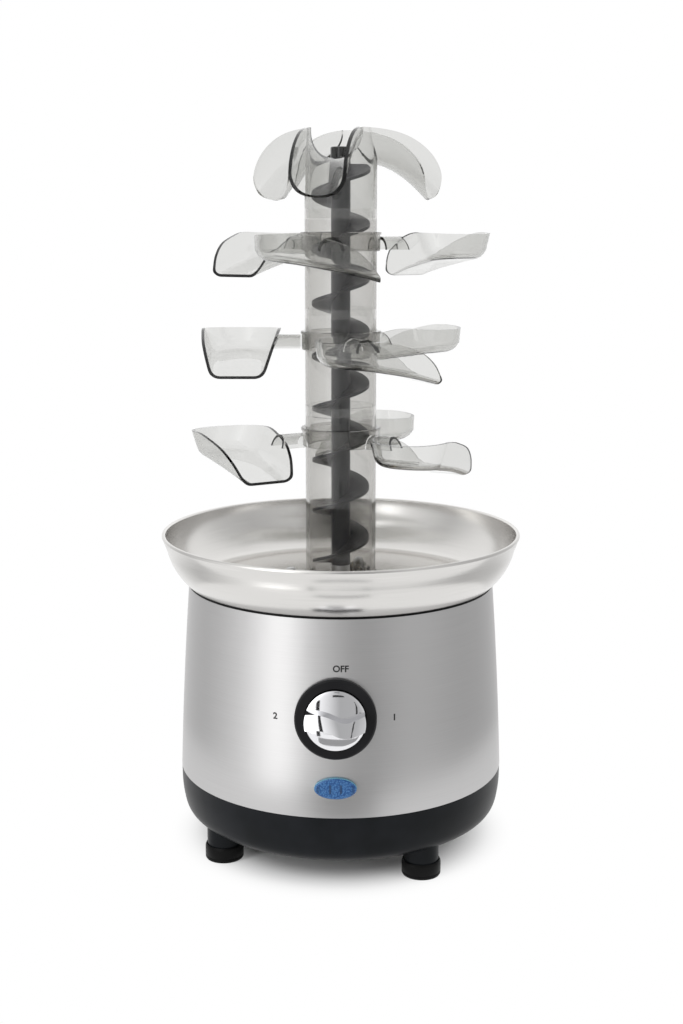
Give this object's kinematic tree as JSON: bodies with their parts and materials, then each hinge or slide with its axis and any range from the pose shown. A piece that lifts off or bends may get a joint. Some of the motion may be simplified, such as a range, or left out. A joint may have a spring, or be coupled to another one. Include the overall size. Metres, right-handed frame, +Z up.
{
  "type": "chocolate fountain",
  "caption": "Round bowl on a conical base with a clear auger tower, a crown of curved chutes and tiers of tilted scoops.",
  "frame": {"origin": "on the floor under the axis of the tower", "axes": "+Z up along the tower's axis, -Y to the front, where the knob and lamp are"},
  "size_m": [0.2274, 0.2289, 0.4488],
  "materials": {
    "steel": "satin",
    "black_plastic": "semi-gloss",
    "rubber": "matte",
    "clear_plastic": "clear, light smoke tint",
    "auger_plastic": "satin",
    "cap_plastic": "gloss",
    "chrome": "polished",
    "aluminium": "plain",
    "brass": "plain",
    "blue_lens": "prismatic",
    "bulb": "clear",
    "housing": "satin",
    "white_plastic": "matte"
  },
  "bodies": {
    "base": {"base_pan": "black_plastic", "steel_shell": "steel", "bowl": "steel", "bowl_seal": "rubber", "locating_studs": "steel", "stud_nuts": "steel", "plate_spacers": "aluminium", "heat_spreader": "aluminium", "heating_element": "steel", "thermostat": "white_plastic", "bearing_hub": "brass", "hub_nut": "steel", "lip_seal": "rubber", "motor_plate": "steel", "gearbox_screws": "steel", "gearbox": "housing", "motor": "housing", "tie_bolts": "steel", "knob_bezel": "black_plastic", "rotary_switch": "black_plastic", "lamp_lens": "blue_lens", "lamp_holder": "white_plastic", "lamp_bulbs": "bulb", "cord_gland": "black_plastic"},
    "drive": {"drive_shaft": "steel", "drive_coupling": "steel"},
    "auger": {"auger": "auger_plastic", "auger_cap": "cap_plastic"},
    "lower_tier": {"lower_tube": "clear_plastic", "lower_collar": "clear_plastic", "lower_scoop_1": "clear_plastic", "lower_scoop_2": "clear_plastic", "lower_scoop_3": "clear_plastic"},
    "middle_tier": {"middle_tube": "clear_plastic", "middle_collar": "clear_plastic", "middle_scoop_1": "clear_plastic", "middle_scoop_2": "clear_plastic", "middle_scoop_3": "clear_plastic"},
    "upper_tier": {"upper_tube": "clear_plastic", "upper_collar": "clear_plastic", "upper_scoop_1": "clear_plastic", "upper_scoop_2": "clear_plastic", "upper_scoop_3": "clear_plastic"},
    "crown": {"crown": "clear_plastic"},
    "knob": {"knob": "chrome", "switch_spindle": "steel"},
    "foot_1": {"foot_stud_1": "black_plastic", "foot_pad_1": "rubber"},
    "foot_2": {"foot_stud_2": "black_plastic", "foot_pad_2": "rubber"},
    "foot_3": {"foot_stud_3": "black_plastic", "foot_pad_3": "rubber"},
    "foot_4": {"foot_stud_4": "black_plastic", "foot_pad_4": "rubber"}
  },
  "joints": [
    {"name": "drive_spin", "type": "hinge", "parent": "base", "child": "drive", "pos_m": [0, 0, 0.17], "axis": [0, 0, 1], "continuous": true},
    {"name": "auger_lift", "type": "slide", "parent": "drive", "child": "auger", "axis": [0, 0, 1], "range_m": [0, 0.28]},
    {"name": "tower_lift", "type": "slide", "parent": "base", "child": "lower_tier", "axis": [0, 0, 1], "range_m": [0, 0.28]},
    {"name": "middle_tier_lift", "type": "slide", "parent": "lower_tier", "child": "middle_tier", "axis": [0, 0, 1], "range_m": [0, 0.17]},
    {"name": "upper_tier_lift", "type": "slide", "parent": "middle_tier", "child": "upper_tier", "axis": [0, 0, 1], "range_m": [0, 0.11]},
    {"name": "crown_lift", "type": "slide", "parent": "upper_tier", "child": "crown", "axis": [0, 0, 1], "range_m": [0, 0.06]},
    {"name": "knob_turn", "type": "hinge", "parent": "base", "child": "knob", "pos_m": [-0.003, -0.10094, 0.1092], "axis": [-0.0296, -0.9979, 0.0581], "range_deg": [-180, 0]},
    {"name": "foot_1_screw", "type": "slide", "parent": "base", "child": "foot_1", "axis": [0, 0, -1], "range_m": [0, 0.004]},
    {"name": "foot_2_screw", "type": "slide", "parent": "base", "child": "foot_2", "axis": [0, 0, -1], "range_m": [0, 0.004]},
    {"name": "foot_3_screw", "type": "slide", "parent": "base", "child": "foot_3", "axis": [0, 0, -1], "range_m": [0, 0.004]},
    {"name": "foot_4_screw", "type": "slide", "parent": "base", "child": "foot_4", "axis": [0, 0, -1], "range_m": [0, 0.004]}
  ]
}
